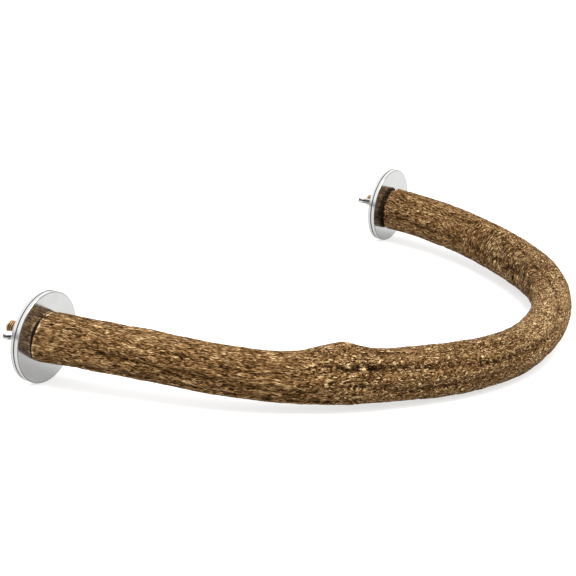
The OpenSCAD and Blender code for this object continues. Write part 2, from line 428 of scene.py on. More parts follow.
@dataclass(frozen=True)
class BarkFinish:
    """Natural bark: fibres along the branch, dark pits and furrows, tan ridges, torn wood at the ends.

    Waves are for each centimetre. Where a pattern has several, they are for straight, curly and
    folded bark. A crack or a ridge is drawn where a noise is at its level, as wide as its width to
    either side, coarse lines first and then fine ones. The gains are how many times stronger
    cracks, ridges and crumbs are on curly bark, and a tone is how much a pattern lightens the bark.
    """

    name: str = "bark"
    tones: tuple[tuple[float, Colour], ...] = (
        (0.08, (0.010, 0.0042, 0.0008, 1.0)),
        (0.28, (0.045, 0.0205, 0.005, 1.0)),
        (0.5, (0.139, 0.073, 0.0275, 1.0)),
        (0.74, (0.282, 0.184, 0.086, 1.0)),
        (0.99, (0.60, 0.455, 0.25, 1.0)),
    )
    wood: Colour = (0.42, 0.29, 0.16, 1.0)
    wood_ring: Colour = (0.22, 0.13, 0.06, 1.0)
    wood_ring_share: float = 0.7
    wood_waves: tuple[tuple[str, float], ...] = (("Scale", 2.2), ("Distortion", 2.0), ("Detail", 3.0))
    drift: Waves = Waves(1.1, 1.1, 2.0)
    drift_cm: float = 0.22
    ring_drift_cm: float = 0.1
    curl: Waves = Waves(3.2, 4.2)
    curl_cm: float = 0.10
    breaks: Waves = Waves(2.2, 4.4, 2.0)
    patches: Waves = Waves(0.7, 1.3, 3.0)
    strokes: tuple[Waves, ...] = (Waves(2.4, 16.0, 1.5, 0.55), Waves(5.0, 15.0, 1.5, 0.55))
    crumbs: tuple[Waves, ...] = (
        Waves(4.6, 20.0, 1.0, 0.6),
        Waves(8.0, 19.0, 1.0, 0.6),
        Waves(19.0, 5.0, 1.0, 0.6),
    )
    lines: tuple[Waves, ...] = (Waves(0.45, 5.2), Waves(2.1, 5.0), Waves(4.6, 1.1))
    fine_scale: float = 2.4
    crack_levels: tuple[Pair, Pair] = ((0.47, 0.04), (0.44, 0.055))
    ridge_levels: tuple[Pair, Pair] = ((0.55, 0.03), (0.565, 0.05))
    fine_crack_share: float = 0.9
    curly_gains: Triple = (1.35, 1.7, 0.6)
    stroke_tone: float = 0.08
    crack_tone: float = -0.31
    ridge_tone: float = 0.28
    patch_tone: float = 0.06
    crumb_tone: float = 1.35
    line_mm: float = 0.22
    crumb_mm: float = 0.16
    crack_rise: float = -0.9
    ridge_rise: float = 0.5
    specular: float = 0.04

    def line(self, graph: NodeGraph, value: Socket, level: Pair, share: object) -> Socket:
        """A share where a noise is at a level, falling softly to nothing at the width on both sides."""
        off = graph.math("ABSOLUTE", graph.math("SUBTRACT", value, level[0]))
        return graph.times(graph.ranged(off, 0.2 * level[1], level[1], 1.0, 0.0), share)

    def make(self) -> bpy.types.Material:
        """Builds the bark's nodes over the mesh's own straightened coordinates.

        The mesh stores "grain", the place along the branch and across it once the branch is
        straightened, in centimetres, "height", the tone of the relief from 0 deep to 1 proud, "lay",
        how curly and how folded the bark is there, and "sawn", which is 1 on the cut ends. Every
        pattern is noise that is stretched along the grain and bent by slower noise. Dark cracks run
        where a noise is a little under its middle, and pale ridges where it is a little over it. The
        coarse lines of both, and the fine ridges, come and go with a slow noise.

        Returns:
            The material.
        """
        graph = Shading(self.name)
        grain = graph.own("grain", "Vector")
        lay = graph.add("SeparateXYZ", {0: graph.own("lay", "Vector")}).outputs
        drift = graph.noise(grain, self.drift, output="Color")
        curl = graph.noise(grain, self.curl, output="Color")
        bent = graph.moved(graph.moved(grain, drift, self.drift_cm), curl, self.curl_cm)
        breaks = graph.noise(bent, self.breaks)
        kinds = (self.strokes, 1.0), (self.crumbs, 1.0), (self.lines, 1.0), (self.lines, self.fine_scale)
        strokes, crumb, coarse, fine = (graph.noises(bent, waves, lay, scale) for waves, scale in kinds)
        broken = graph.ranged(breaks, 0.40, 0.56, 0.0, 0.35)
        solid = graph.ranged(breaks, 0.46, 0.60, 1.0, 0.3)
        cracks = [self.line(graph, coarse, self.crack_levels[0], broken)]
        cracks.append(self.line(graph, fine, self.crack_levels[1], self.fine_crack_share))
        ridges = [self.line(graph, coarse, self.ridge_levels[0], broken)]
        ridges.append(self.line(graph, fine, self.ridge_levels[1], solid))
        gains = [graph.ranged(lay[0], 0.0, 1.0, 1.0, gain) for gain in self.curly_gains]
        crack = graph.times(graph.math("MAXIMUM", *cracks), gains[0])
        ridge = graph.times(graph.math("MAXIMUM", *ridges), graph.ranged(strokes, 0.36, 0.52, 0.1, 1.0))
        ridge = graph.times(ridge, gains[1])
        stroke = graph.ranged(strokes, 0.37, 0.63)
        tone = graph.own("height")
        for part, amount in (
            (graph.centred(stroke), self.stroke_tone),
            (crack, self.crack_tone),
            (ridge, self.ridge_tone),
            (graph.centred(graph.noise(grain, self.patches)), self.patch_tone),
            (graph.times(graph.centred(crumb), gains[2]), self.crumb_tone),
        ):
            tone = graph.plus(tone, part, amount)
        ramp = graph.add("ValToRGB", {"Fac": tone})
        while len(ramp.color_ramp.elements) < len(self.tones):
            ramp.color_ramp.elements.new(1.0)
        for element, (spot, colour) in zip(ramp.color_ramp.elements, self.tones):
            element.position = spot
            element.color = colour
        wave = dict(self.wood_waves, Vector=graph.moved(grain, drift, self.ring_drift_cm))
        rings = graph.add("TexWave", wave, wave_type="RINGS", rings_direction="X").outputs["Fac"]
        torn = graph.mix(graph.times(rings, self.wood_ring_share), self.wood, self.wood_ring)
        torn = graph.mix(graph.ranged(strokes, 0.55, 0.75), torn, self.tones[1][1])
        rise = graph.plus(graph.plus(stroke, ridge, self.ridge_rise), crack, self.crack_rise)
        return graph.finish_with(
            Base_Color=graph.mix(graph.own("sawn"), ramp.outputs["Color"], torn),
            Roughness=graph.ranged(tone, 0.1, 0.9, 0.95, 0.7),
            Normal=graph.bump(crumb, self.crumb_mm, graph.bump(rise, self.line_mm)),
            Specular_IOR_Level=self.specular,
        )


@dataclass(frozen=True)
class MetalFinish:
    """A plated metal: its colour, a duller tint in patches, how rough, dented and hazy it is, and the dark
    colour of its painted shade.
    """

    name: str
    colour: Colour
    tint: Colour
    rough: Pair
    grain_scale: float
    dent_mm: float
    cloud: Waves = Waves(0.35, 0.35, 4.0, 0.6)
    grit: Waves = Waves(3.0, 3.0, 5.0, 0.65)
    # Painted shade: a dark, non-metal colour laid where shade falls in seams, thread roots and grooves.
    painted_shade: Colour = (0.016, 0.010, 0.005, 1.0)
    haze: float = 0.02
    specular: float = 0.2

    def make(self) -> bpy.types.Material:
        """Builds the plating's nodes over the piece's own place.

        The metal share is a little under one, so that the haze adds a weak grey, and falls to nothing
        under the painted shade that the mesh stores in seams, thread roots and grooves.

        Returns:
            The material.
        """
        graph = Shading(self.name)
        place = graph.add("TexCoord", {}).outputs["Object"]
        cloud = graph.ranged(graph.noise(place, self.cloud, self.grain_scale), 0.35, 0.72)
        grit = graph.noise(place, self.grit, self.grain_scale)
        # Painted shade: the share of dark colour that the mesh stores for each point.
        painted_shade_share = graph.own("painted_shade")
        return graph.finish_with(
            Base_Color=graph.mix(painted_shade_share, graph.mix(cloud, self.colour, self.tint), self.painted_shade),
            Roughness=graph.ranged(grit, 0.3, 0.75, *self.rough),
            Normal=graph.bump(grit, self.dent_mm),
            Metallic=graph.ranged(painted_shade_share, 0.0, 1.0, 1.0 - self.haze, 0.0),
            Specular_IOR_Level=self.specular,
        )


PLATES: dict[Plate, MetalFinish] = {
    Plate.CHROME: MetalFinish(
        name="washer_plate",
        colour=(0.42, 0.42, 0.418, 1.0),
        tint=(0.39, 0.39, 0.386, 1.0),
        rough=(0.11, 0.18),
        grain_scale=260.0,
        dent_mm=0.0012,
    ),
    Plate.ZINC: MetalFinish(
        name="zinc_plate",
        colour=(0.46, 0.275, 0.125, 1.0),
        tint=(0.27, 0.15, 0.06, 1.0),
        rough=(0.22, 0.36),
        grain_scale=900.0,
        dent_mm=0.02,
    ),
    Plate.CAST: MetalFinish(
        name="cast_plate",
        colour=(0.47, 0.47, 0.463, 1.0),
        tint=(0.40, 0.40, 0.396, 1.0),
        rough=(0.12, 0.24),
        grain_scale=500.0,
        dent_mm=0.015,
    ),
}


@dataclass(frozen=True)
class FloorFinish:
    """The studio's plain matt white table, which glows evenly so that only close shadows show."""

    name: str = "studio_white"
    colour: Colour = (0.36, 0.36, 0.358, 1.0)
    light: Colour = (1.0, 1.0, 0.99, 1.0)
    glow: float = 0.62
    rough: float = 0.9

    def make(self) -> bpy.types.Material:
        """Builds the table's material, which is the stage's and no part of the perch.

        Returns:
            The material.
        """
        looks = {"Base_Color": self.colour, "Roughness": self.rough, "Specular_IOR_Level": 0.0}
        glow = {"Emission_Color": self.light, "Emission_Strength": self.glow}
        return Shading(self.name).finish_with(**looks, **glow)


# The branch


@dataclass
class Branch:
    """The bark-covered branch: the solid's own path, girth, lobes and knot, with the bark's relief.

    The fields whose names end in shares are the solid's own numbers. Each row of noises holds the
    number of its random draw and its wave lengths along and across the branch. A pattern's amount is
    how far it raises the bark in millimetres and how much lighter it makes it. Each row of marks holds
    s and q, the half lengths along and across, and the amount.
    """

    bolt_spacing: float = 309.0
    reach: float = 154.6
    branch_d: float = 22.6
    sag: float = 3.1
    bark_lobe: float = 0.25
    furrow_depth: float = 1.0
    furrow_w: float = 4.4
    knot_h: float = 3.9
    knot_len: float = 25.0
    knot_angle: float = 104.0
    knot_spread: float = 40.0
    knot_share: float = 0.264
    cut_y: float = -2.0
    rings: int = 820
    sides: int = 112
    seed: int = 46
    bolt_sunk: Pair = (19.4, 24.6)
    wood_len: float = 17.0
    wood_core_r: float = 2.1
    mouth_r: float = 3.1
    pilot_spare: float = 1.0
    path_shares: Rows = (
        (-1, 0, 0), (-0.945, -0.265, 0.35), (-0.86, -0.515, -0.55), (-0.715, -0.71, -0.9),
        (-0.51, -0.87, -0.5), (-0.27, -0.985, -1), (-0.01, -1.01, -1), (0.25, -0.96, -0.5),
        (0.495, -0.85, -0.4), (0.695, -0.68, -0.8), (0.855, -0.465, -0.9), (0.97, -0.23, -0.7),
        (1, 0, -0.55),
    )
    girth_shares: Rows = ((1, 0.96, 0.93, 0.98, 1.01, 0.99, 0.91, 0.83, 0.94, 1.04, 1.03, 1.02, 1.02),)
    lobe_shares: Rows = ((2, 0.6, 20, 1), (3, -0.8, 75, 0.8), (5, 1.1, 140, 0.6))
    furrow_shares: tuple[tuple[float, tuple[Pair, ...]], ...] = (
        (0.85, ((0.025, 8), (0.056, 6), (0.083, 4), (0.104, -2), (0.138, 0), (0.175, -3))),
        (1, ((0.006, -38), (0.058, -41), (0.113, -37), (0.163, -40), (0.23, -47), (0.284, -44))),
        (0.55, ((0.109, 42), (0.15, 28), (0.186, 26), (0.226, 24), (0.251, 30))),
        (0.75, ((0.079, -20), (0.121, -16), (0.146, -12), (0.18, -14), (0.226, -16), (0.259, -12))),
        (1.1, ((0.242, 48), (0.284, 42), (0.359, 30), (0.416, 22), (0.443, 22), (0.491, 28), (0.547, 27))),
        (0.7, ((0.246, 2), (0.284, -4), (0.311, -16), (0.351, -18), (0.393, -12), (0.455, 0))),
        (0.5, ((0.271, 90), (0.317, 78), (0.355, 66), (0.401, 68), (0.451, 63))),
        (0.8, ((0.514, 40), (0.555, 54), (0.61, 84), (0.677, 116), (0.72, 124))),
        (0.7, ((0.71, 112), (0.802, 116), (0.881, 122), (0.948, 128), (0.994, 126))),
        (0.9, ((0.664, 166), (0.768, 174), (0.86, 184), (0.935, 190), (0.994, 182))),
        (0.9, ((0.004, 128), (0.084, 132), (0.167, 148), (0.246, 156))),
        (0.9, ((0.188, 204), (0.292, 190), (0.397, 176), (0.501, 186), (0.626, 214))),
        (1, ((0.021, 252), (0.125, 262), (0.23, 250), (0.355, 258), (0.48, 250))),
        (0.9, ((0.409, 300), (0.501, 318), (0.606, 326), (0.702, 318))),
        (0.9, ((0.585, 262), (0.689, 250), (0.814, 256), (0.919, 246), (0.996, 250))),
        (1, ((0.685, 20), (0.773, 42), (0.877, 36), (0.99, 48))),
        (0.8, ((0.718, 318), (0.814, 308), (0.919, 316), (0.994, 310))),
    )
    wander_noises: Rows = ((1, 50.0, 22.0), (2, 24.0, 14.0))
    wander_mm: Pair = (1.8, 1.1)
    bark_noises: Rows = ((3, 26.0, 6.2), (4, 10.0, 2.3), (5, 5.0, 2.8), (6, 2.8, 1.9))
    wrinkle_noise: Triple = (7, 3.8, 17.0)
    slow_noises: Rows = ((8, 46.0, 15.0), (9, 17.0, 7.0))
    base_tone: float = 0.432
    fibre: Pair = (0.08, 0.03)
    fibre_ends_mm: float = 0.06
    grain: Pair = (0.13, 0.02)
    grain_ends_mm: float = -0.06
    fold: Pair = (0.42, 0.12)
    crease: Pair = (-0.35, -0.25)
    swell_mm: float = 0.08
    plate: Pair = (0.07, 0.01)
    valley: Pair = (-0.2, -0.09)
    inside_tone: float = 0.01
    # How much the painted light on the bend's upper outer side lightens the bark.
    painted_light_tone: float = 0.11
    slot: Pair = (-0.4, -0.18)
    hollow_tone: float = -0.06
    lip: Pair = (0.10, 0.02)
    marks: Rows = (
        (130, 42, 9, 2.6, -0.8, -0.12), (126.6, 41.5, 1.3, 0.8, -0.7, -0.34),
        (130.4, 45, 1.5, 0.8, -0.7, -0.36), (131.6, 39.5, 1.2, 0.7, -0.6, -0.32),
        (137.4, 40, 1.9, 0.9, -0.8, -0.36), (140.8, 35, 1.3, 0.7, -0.5, -0.26),
        (137, 24, 1.3, 1.3, -0.8, -0.36), (132, 26, 1.4, 0.7, -0.5, -0.28),
        (128, 47.5, 1.7, 0.7, 0.5, 0.8), (134.6, 43.6, 1.5, 0.8, 0.5, 0.8),
        (133.2, 35, 2, 0.6, 0.4, 0.26), (126, 58, 9, 2.2, 0.6, 0.1),
        (24, 72, 2.6, 0.8, 0.1, 0.3), (125, 316, 1, 0.8, 0.1, 0.4),
        (256, 84, 2.6, 1.6, -0.5, -0.22), (271, 50, 2.6, 1.8, -0.7, -0.26),
        (351, 190, 7, 1, -0.6, -0.2), (92, 214, 3.4, 2.6, -1.1, -0.28),
        (300, 268, 4.2, 2.8, -1.2, -0.28), (420, 20, 3.2, 2.4, -1, -0.26),
    )
    torn_drops: Pair = (0.7, 1.25)
    # Tone of the torn strip: dark inner bark with painted shade.
    inner_bark_and_shade_tone: float = 0.06
    bark_inset: float = 0.25
    relief_limits: Pair = (-2.4, 1.0)
    sawn_shares: Sequence[float] = (0.06, 0.16, 0.34, 0.55, 0.78)
    sawn_rough: float = 0.09
    finish: BarkFinish = field(default_factory=BarkFinish)

    def path(self, places: Optional[Array] = None) -> tuple[Array, Array, Array, Array]:
        """Follows the solid's centre line.

        The line is a uniform cubic B-spline over the path's shares, with one more point beyond each
        end, and is looked up densely and then resampled by its length.

        Args:
            places: Where along the branch to look, or nothing for equal steps.

        Returns:
            Place along the branch, the points, the unit headings and the girth's radius.
        """
        scale = [self.bolt_spacing / 2, self.reach, self.sag, self.branch_d / 2]
        both = np.concatenate([self.path_shares, np.transpose(self.girth_shares)], axis=1) * scale
        both = both + [0.0, self.cut_y, 0.0, 0.0]
        both = np.concatenate([[2 * both[0] - both[1]], both, [2 * both[-1] - both[-2]]])
        u = np.linspace(0.0, len(both) - 3.0, 12001)
        k = np.minimum(np.floor(u).astype(int), len(both) - 4)
        w = (u - k)[:, None]
        basis = np.array([[1, 4, 1, 0], [-3, 0, 3, 0], [3, -6, 3, 0], [-1, 3, -3, 1]]) / 6.0
        start, slope, curve, twist = np.moveaxis(basis @ both[k[:, None] + np.arange(4)], 1, 0)
        line = start + (slope + (curve + twist * w) * w) * w
        heading = unit((slope + (2 * curve + 3 * twist * w) * w)[:, :3])
        place = run_along(line[:, :3])
        even = np.linspace(0.0, place[-1], self.rings) if places is None else places
        look = [np.interp(even, place, column) for column in np.concatenate([line, heading], axis=1).T]
        table = np.stack(look, axis=1)
        return even, table[:, :3], unit(table[:, 4:]), table[:, 3]

    @cached_property
    def length(self) -> float:
        """The length of the centre line."""
        return float(self.path()[0][-1])

    def draw(self, number: int) -> np.random.Generator:
        """The random numbers of one draw, the same at each run."""
        return np.random.default_rng(self.seed * 1000 + number)

    def shaped_noise(self, number: int, along: float, across: float) -> Array:
        """Smooth random relief over the unrolled bark, seamless round the branch.

        White noise is filtered in the frequency plane by distance times a bell, in units of the wave
        lengths, and scaled to a spread of one.

        Args:
            number: Which random draw is used.
            along: The wave length along the branch.
            across: The wave length round the branch.

        Returns:
            One value for each ring and side.
        """
        white = self.draw(number).standard_normal((self.rings, self.sides))
        waves_s = np.fft.fftfreq(self.rings, self.length / self.rings)[:, None] * along
        waves_q = np.fft.fftfreq(self.sides, math.pi * self.branch_d / self.sides)[None, :] * across
        reach = np.sqrt(waves_s**2 + waves_q**2)
        made = np.real(np.fft.ifft2(np.fft.fft2(white) * reach * bell(reach, 1.0)))
        return made / made.std()

    def lookup(self, values: Array, shift_s: Array, shift_q: Array) -> Array:
        """Reads a relief at shifted places, so that straight patterns wander.

        Args:
            values: The relief over rings and sides.
            shift_s: Shift along the branch.
            shift_q: Shift round the branch.

        Returns:
            The relief between the grid's points, by linear weights.
        """
        rows = np.arange(self.rings)[:, None] + shift_s * (self.rings - 1) / self.length
        cols = np.arange(self.sides)[None, :] + shift_q * self.sides / (math.pi * self.branch_d)
        rows = np.clip(rows, 0, self.rings - 1.001)
        r0, c0 = np.floor(rows).astype(int), np.floor(cols).astype(int)
        fr, fc = rows - r0, cols - c0
        c0, c1 = c0 % self.sides, (c0 + 1) % self.sides
        low = values[r0, c0] * (1 - fc) + values[r0, c1] * fc
        high = values[r0 + 1, c0] * (1 - fc) + values[r0 + 1, c1] * fc
        return low * (1 - fr) + high * fr

    def furrow_lines(self, s: Array, q: Array) -> list[tuple[Array, Array]]:
        """Where each long furrow of the solid runs.

        The line is straight between the furrow's points, and its strength rises to full over one
        radius from either end.

        Args:
            s: Place along the branch, as a column.
            q: Angle, as a row.

        Returns:
            For each furrow its depth, and the distance round the bark from its line.
        """
        lines = []
        share = s / self.length
        radius = self.branch_d / 2
        for depth_share, points in self.furrow_shares:
            spots, angles = np.array(points, float).T
            to_end = np.minimum(share - spots[0], spots[-1] - share) * self.length
            gap = np.radians(turn_from(q, np.interp(share, spots, angles))) * radius
            lines.append((depth_share * self.furrow_depth * np.clip(to_end / radius, 0.0, 1.0), gap))
        return lines

    def furrows(self, s: Array, q: Array) -> Array:
        """The depth of the solid's long furrows, each a bell of half the width over the line."""
        return sum(depth * bell(gap, self.furrow_w / 2) for depth, gap in self.furrow_lines(s, q))

    def inside_of_bend(self, s: Array, q: Array) -> Array:
        """How far each point is on the inside of the bend, where the bark is pressed into folds."""
        bend = smooth(s, 280, 316) * (1 - smooth(s, 395, 435))
        return bend * bell(turn_from(q, 158.0), 64.0)

    def lay_of_bark(self, s: Array, q: Array) -> Array:
        """How curly the bark is, most at the front and the bend, and how folded, inside the bend."""
        curly = 0.9 * smooth(s, 70, 150) * (1 - smooth(s, 372, 430))
        return np.stack(np.broadcast_arrays(curly, 0.85 * self.inside_of_bend(s, q), 0.0), axis=-1)

    def relief(self, s: Array, q: Array, girth: Array) -> tuple[Array, Array]:
        """The bark's height over the solid's surface, and the tone that goes with it.

        Fibres are ridged noise of long thin waves, strongest near both ends, and grains of rounder
        ones, strongest at the front. Folds with dark creases run across the inside of the bend.
        Valleys are where a noise crosses zero. A furrow is a bell-shaped slot in a wider dark hollow,
        with a raised lip on both sides, and each mark is a bell of its own. All noises are bent by
        slow ones.

        Args:
            s: Place along the branch, as a column.
            q: Angle, as a row.
            girth: The branch's radius, as a column.

        Returns:
            The height in millimetres and the tone from 0 to 1.
        """
        wander = [mm * self.shaped_noise(*row) for mm, row in zip(self.wander_mm, self.wander_noises)]
        looked = [self.lookup(self.shaped_noise(*row), *wander) for row in self.bark_noises]
        splits, fibre, granule, granule_fine = looked
        wrinkle = self.lookup(self.shaped_noise(*self.wrinkle_noise), 0.5 * wander[1], wander[0])
        swell, plates = (self.shaped_noise(*row) for row in self.slow_noises)
        ends = np.maximum(1 - smooth(s, 60, 150), smooth(s, 370, 430))
        inside = self.inside_of_bend(s, q)
        valleys = bell(splits, 0.24) * smooth(plates + 0.7 * swell, -0.9, 0.8)
        fibres = ridged(fibre)
        grains = 0.5 * ridged(granule) + 0.4 * ridged(granule_fine)
        folds = inside * ridged(wrinkle)
        crease = inside * bell(wrinkle, 0.5) * smooth(plates + 0.3 * granule, -1.2, 0.2)
        # Painted light: a lighter patch on the upper outer side between s 215 and 330, where the light
        # falls on the bend.
        painted_light = smooth(s, 215, 250) * (1 - smooth(s, 285, 330)) * bell(turn_from(q, 62.0), 55.0)
        height = (self.fibre[0] + self.fibre_ends_mm * ends) * fibres * (1 - 0.7 * inside)
        height = height + (self.grain[0] + self.grain_ends_mm * ends) * grains + self.swell_mm * swell
        height = height + self.valley[0] * valleys * (1 - 0.6 * inside)
        tone = self.base_tone + self.fibre[1] * fibres + self.grain[1] * grains + self.valley[1] * valleys
        tone = tone + self.inside_tone * inside + self.painted_light_tone * painted_light
        parts = [(self.fold, folds), (self.plate, plates), (self.crease, crease)]
        for depth, gap in self.furrow_lines(s, q):
            broken = 0.35 + 0.65 * smooth(plates + 0.6 * granule, -0.8, 0.5)
            parts.append((self.slot, depth * broken * bell(gap + 0.45 * fibre + 0.3 * granule, 0.75)))
            parts.append(((0.0, self.hollow_tone), depth * bell(gap, 1.9)))
            parts.append((self.lip, depth * bell(np.abs(gap) - 3.4, 1.6)))
        for place, angle, along, across, *amount in self.marks:
            gap = turn_from(q, angle) * math.pi / 180.0 * girth
            parts.append((amount, bell(s - place, along) * bell(gap, across)))
        for (rise, light), pattern in parts:
            height = height + rise * pattern
            tone = tone + light * pattern
        return height, tone

    def worn_edge(self, s: Array, tone: Array) -> tuple[Array, Array]:
        """The bark that the saw tore off at both ends, down to dark inner bark with painted shade for the
        gap at the washer, behind a pale rim.

        The torn strip's width changes round the branch as a sum of a few waves. On the left it is
        widest on the outer side. The drop is a soft step at that width, and the rim is a bell just
        behind it, palest on top.

        Args:
            s: Place along the branch.
            tone: The tone so far.

        Returns:
            How far the bark is drawn in, in millimetres, and the new tone.
        """
        draw = self.draw(70)
        q = np.arange(self.sides) * 360.0 / self.sides
        waves = np.arange(2, 30)
        sizes = draw.standard_normal((2, len(waves))) / np.sqrt(waves)
        starts = draw.uniform(0, FULL_TURN, (2, len(waves)))
        swings = np.cos(waves[None, :, None] * np.radians(q) + starts[..., None])
        jag = (sizes[..., None] * swings).sum(axis=1)
        jag = jag / jag.std(axis=1, keepdims=True)
        upper = bell(turn_from(q, 88.0), 34.0)
        outer = bell(turn_from(q, 32.0), 30.0)
        strips = (0.14 + 0.58 * outer) * (1 + 0.2 * jag[0]), 1.75 * (1 + 0.22 * jag[1])
        worn = 0.0
        for index, gap in enumerate((s, self.length - s)):
            behind = gap - np.clip(strips[index], 0.1, 2.8)
            inner = 1 - smooth(behind, -0.16, 0.2)
            rim = bell(behind - 0.4, 0.38) * np.clip(0.8 + 0.4 * jag[index][None], 0.0, 1.0)
            worn = worn + self.torn_drops[index] * inner
            # The torn strip's tone is dark inner bark, painted darker as the shade in the gap between bark
            # and washer.
            tone = tone * (1 - inner) + self.inner_bark_and_shade_tone * inner + (0.42 + 0.3 * upper - 0.24 * index) * rim
        return worn, tone

    def skin(self) -> tuple[Array, Array, Array, Array]:
        """The bark's rings, from one sawn edge to the other.

        A ring's point is the centre plus the radius times (cos q out + sin q up), where out is level
        and square to the heading. Near both ends the rings lean until they lie in the sawn plane, and
        they are closer together there. No point goes past the low Y side of the solid's own box.

        Returns:
            The points, the straightened coordinates, the bark's lay and its tone, over rings and sides.
        """
        even, _, _, girth = self.path()
        q = (np.arange(self.sides) * 360.0 / self.sides)[None, :]
        turn = np.radians(q)
        close = np.concatenate([np.linspace(0.0, 0.9, 7), np.linspace(1.1, 2.9, 10), [3.2]])
        inner = close[-1] + 0.3
        middle = even[(even > inner) & (even < self.length - inner)]
        places = np.concatenate([close, middle, self.length - close[::-1]])
        rows = np.clip(places / self.length * (self.rings - 1), 0, self.rings - 1.001)
        low, share = np.floor(rows).astype(int), (rows % 1.0)[:, None]
        grids = self.relief(even[:, None], q, girth[:, None])
        relief, tone = (grid[low] * (1 - share) + grid[low + 1] * share for grid in grids)
        _, centre, heading, girth = self.path(places)
        s, girth = places[:, None], girth[:, None]
        lobes = sum(
            size * np.cos(count * turn + np.radians(twist * 360.0 * s / self.length + start))
            for count, twist, start, size in self.lobe_shares
        )
        knot = bell(s - self.knot_share * self.length, self.knot_len / 2)
        knot = self.knot_h * knot * bell(turn_from(q, self.knot_angle), self.knot_spread)
        edge = np.minimum(s, self.length - s)
        relief = np.clip(relief, *self.relief_limits) * (0.35 + 0.65 * smooth(edge, 0.0, 4.0))
        worn, tone = self.worn_edge(s, tone)
        solid = girth + self.bark_lobe * lobes + knot - self.furrows(s, q)
        radius = solid + relief - self.bark_inset - worn
        out = unit(np.cross(heading, [0.0, 0.0, 1.0]))
        up = np.cross(out, heading)
        across, upward = radius * np.cos(turn), radius * np.sin(turn)
        flat = across[..., None] * out[:, None] + upward[..., None] * up[:, None]
        lean = np.maximum(0.0, 1.0 - edge / (self.branch_d / 2))[..., None]
        points = centre[:, None] + flat - heading[:, None] * (flat[..., 1:2] / heading[:, None, 1:2]) * lean
        points[..., 1] = np.maximum(points[..., 1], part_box("branch")[0][1] / MM)
        grain = np.stack(np.broadcast_arrays(s, across, upward), axis=-1)
        return points, grain, self.lay_of_bark(s, q), tone

    def end_rings(self, rim: Array, rim_grain: Array, side: Side) -> tuple[Array, Array, Array, Array]:
        """The sawn face and the bolt's hole at one end, as rings that go on from the bark's last one.

        Args:
            rim: The bark's last ring.
            rim_grain: Its straightened coordinates.
            side: Which end it is.

        Returns:
            Rings from the bark's edge to the hole's bottom, their grain, the bottom's middle point and
            its grain.
        """
        first = side is Side.LEFT
        axis = np.array([side.value * self.bolt_spacing / 2, self.cut_y, 0.0])
        thread = self.bolt_sunk[0 if first else 1] - self.wood_len
        bottom = thread + self.wood_len + self.pilot_spare
        angle = np.arctan2(rim[:, 2], rim[:, 0] - axis[0])
        ray = np.stack([np.cos(angle), 0.0 * angle, np.sin(angle)], axis=1)
        rough = self.draw(50 + int(first)).standard_normal((len(self.sawn_shares), self.sides))
        waves = np.fft.fft(rough, axis=1) * bell(9 * np.fft.fftfreq(self.sides), 1.0)
        rows, marks = [], []
        for share, bumps in zip(self.sawn_shares, np.real(np.fft.ifft(waves, axis=1))):
            ring = rim * (1 - share) + (axis + self.mouth_r * ray) * share
            ring[:, 1] = self.cut_y - np.abs(self.sawn_rough * bumps)
            rows.append(ring)
            marks.append(rim_grain * [1, 1 - share, 1 - share])
        for radius, depth in (
            (self.mouth_r + 0.25, 0.0),
            (self.mouth_r, 0.25),
            (self.mouth_r, thread - 0.02),
            (self.wood_core_r, thread + 0.02),
            (self.wood_core_r, bottom - 0.3),
            (self.wood_core_r - 0.3, bottom),
        ):
            rows.append(axis + radius * ray - [0.0, depth, 0.0])
            spots = [rim_grain[:, 0] + depth, radius * ray[:, 0], radius * ray[:, 2]]
            marks.append(np.stack(spots, axis=1))
        return np.array(rows), np.array(marks), axis - [0.0, bottom, 0.0], rim_grain[0] * [1.0, 0.0, 0.0]

    def build(self) -> Piece:
        """Makes the whole branch as one closed mesh and stores what its material reads.

        Returns:
            The branch, in place.
        """
        points, grain, lay, tone = self.skin()
        left = self.end_rings(points[0], grain[0], Side.LEFT)
        right = self.end_rings(points[-1], grain[-1], Side.RIGHT)
        more = (len(left[0]), len(right[0])), (0, 0)
        rings = np.concatenate([left[0][::-1], points, right[0]])
        piece = capped_tube("branch_bark", rings, [left[2], right[2]])
        marks = np.concatenate([left[1][::-1], grain, right[1]]).reshape(-1, 3)
        lays = np.pad(lay, (*more, (0, 0))).reshape(-1, 3)
        tones = np.pad(tone, more, constant_values=0.5).ravel()
        sawn = np.pad(np.zeros_like(tone), more, constant_values=1.0).ravel()
        keep_values(piece, "lay", np.concatenate([lays, np.zeros((2, 3))]))
        keep_values(piece, "grain", np.concatenate([marks, [left[3], right[3]]]) / 10.0)
        keep_values(piece, "height", np.append(tones, [0.5, 0.5]))
        keep_values(piece, "sawn", np.append(sawn, [1.0, 1.0]))
        return piece

    def make(self) -> Piece:
        """Builds the branch, dresses it and hands it to its body.

        Returns:
            The finished piece.
        """
        piece = self.build()
        piece.data.materials.append(self.finish.make())
        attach(piece, "perch")
        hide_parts("branch")
        LOG.info("%s: %d faces", piece.name, len(piece.data.polygons))
        return piece


# The clamps


